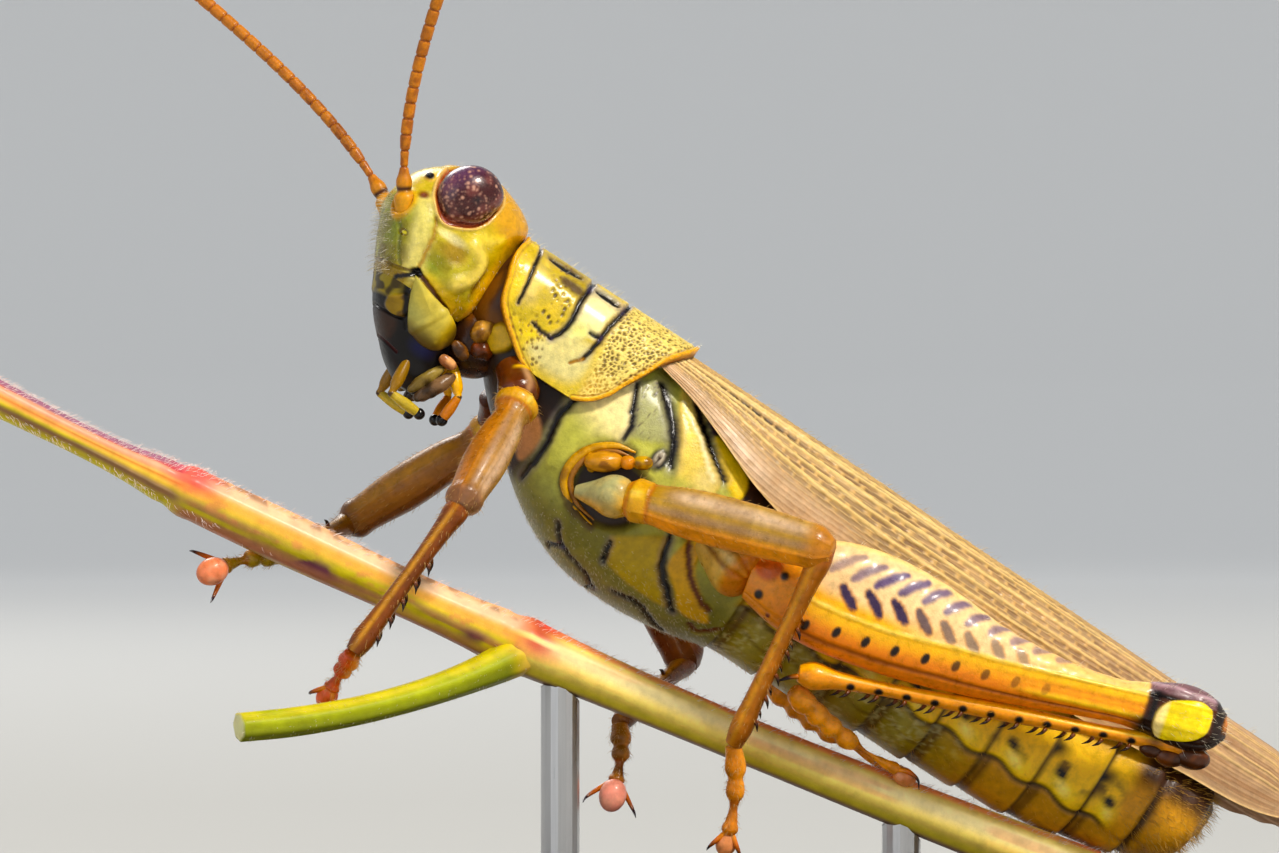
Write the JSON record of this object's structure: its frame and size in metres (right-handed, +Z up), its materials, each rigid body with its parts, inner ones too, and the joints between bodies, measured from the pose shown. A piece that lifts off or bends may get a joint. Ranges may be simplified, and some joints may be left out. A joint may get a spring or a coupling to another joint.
{
  "type": "grasshopper",
  "caption": "Life-size still model of a differential grasshopper gripping a cut plant stem, held by a small flat display stand.",
  "frame": {"origin": "middle of the underside of the display base, which stands on the floor", "axes": "+Z up; the insect faces -X with its left side towards -Y, nose up along the stem"},
  "size_m": [0.047, 0.022, 0.0396],
  "materials": {
    "cuticle_head": "smooth yellow-green cuticle, slightly waxy",
    "mouthparts": "glossy black with yellow-green mandible bases",
    "eye": "polished maroon with pale speckles",
    "antenna": "orange, ringed",
    "palps": "straw with black tips",
    "pronotum": "yellow, black grooves, pitted at the rear",
    "thorax": "pale green with black sutures",
    "abdomen": "yellow-olive with dark segment edges",
    "wing": "tan, leathery, with raised pale veins",
    "hind_wing": "smoky folded membrane",
    "coxa": "yellow-tan cuticle",
    "leg": "orange-tan cuticle",
    "hind_femur": "yellow with a black herringbone",
    "hind_tibia": "orange-brown with black spines",
    "tarsus": "orange with pink pads and black claws",
    "stem": "yellow-green plant stem flushed with red",
    "stand_base": "dark satin-lacquered wood",
    "stand_rod": "fine brushed steel"
  },
  "bodies": {
    "root": {"stand_base": "stand_base", "stand_rod_front": "stand_rod", "stand_rod_rear": "stand_rod", "perch_stem": "stem", "perch_shoot": "stem", "head": "cuticle_head", "mouthparts": "mouthparts", "eye_left": "eye", "eye_right": "eye", "antenna_left": "antenna", "antenna_right": "antenna", "maxillary_palp_left": "palps", "maxillary_palp_right": "palps", "labial_palp_left": "palps", "labial_palp_right": "palps", "pronotum": "pronotum", "thorax": "thorax", "abdomen_1": "abdomen", "abdomen_2": "abdomen", "abdomen_3": "abdomen", "abdomen_tip": "abdomen", "tegmen_left": "wing", "tegmen_right": "wing", "hind_wings": "hind_wing", "fore_left_coxa": "coxa", "fore_left_femur": "leg", "fore_left_tibia": "leg", "fore_left_tarsus": "tarsus", "fore_right_coxa": "coxa", "fore_right_femur": "leg", "fore_right_tibia": "leg", "fore_right_tarsus": "tarsus", "mid_left_coxa": "coxa", "mid_left_femur": "leg", "mid_left_tibia": "leg", "mid_left_tarsus": "tarsus", "mid_right_coxa": "coxa", "mid_right_femur": "leg", "mid_right_tibia": "leg", "mid_right_tarsus": "tarsus", "hind_left_coxa": "coxa", "hind_left_femur": "hind_femur", "hind_left_tibia": "hind_tibia", "hind_left_tarsus": "tarsus", "hind_right_coxa": "coxa", "hind_right_femur": "hind_femur", "hind_right_tibia": "hind_tibia", "hind_right_tarsus": "tarsus"}
  },
  "joints": []
}
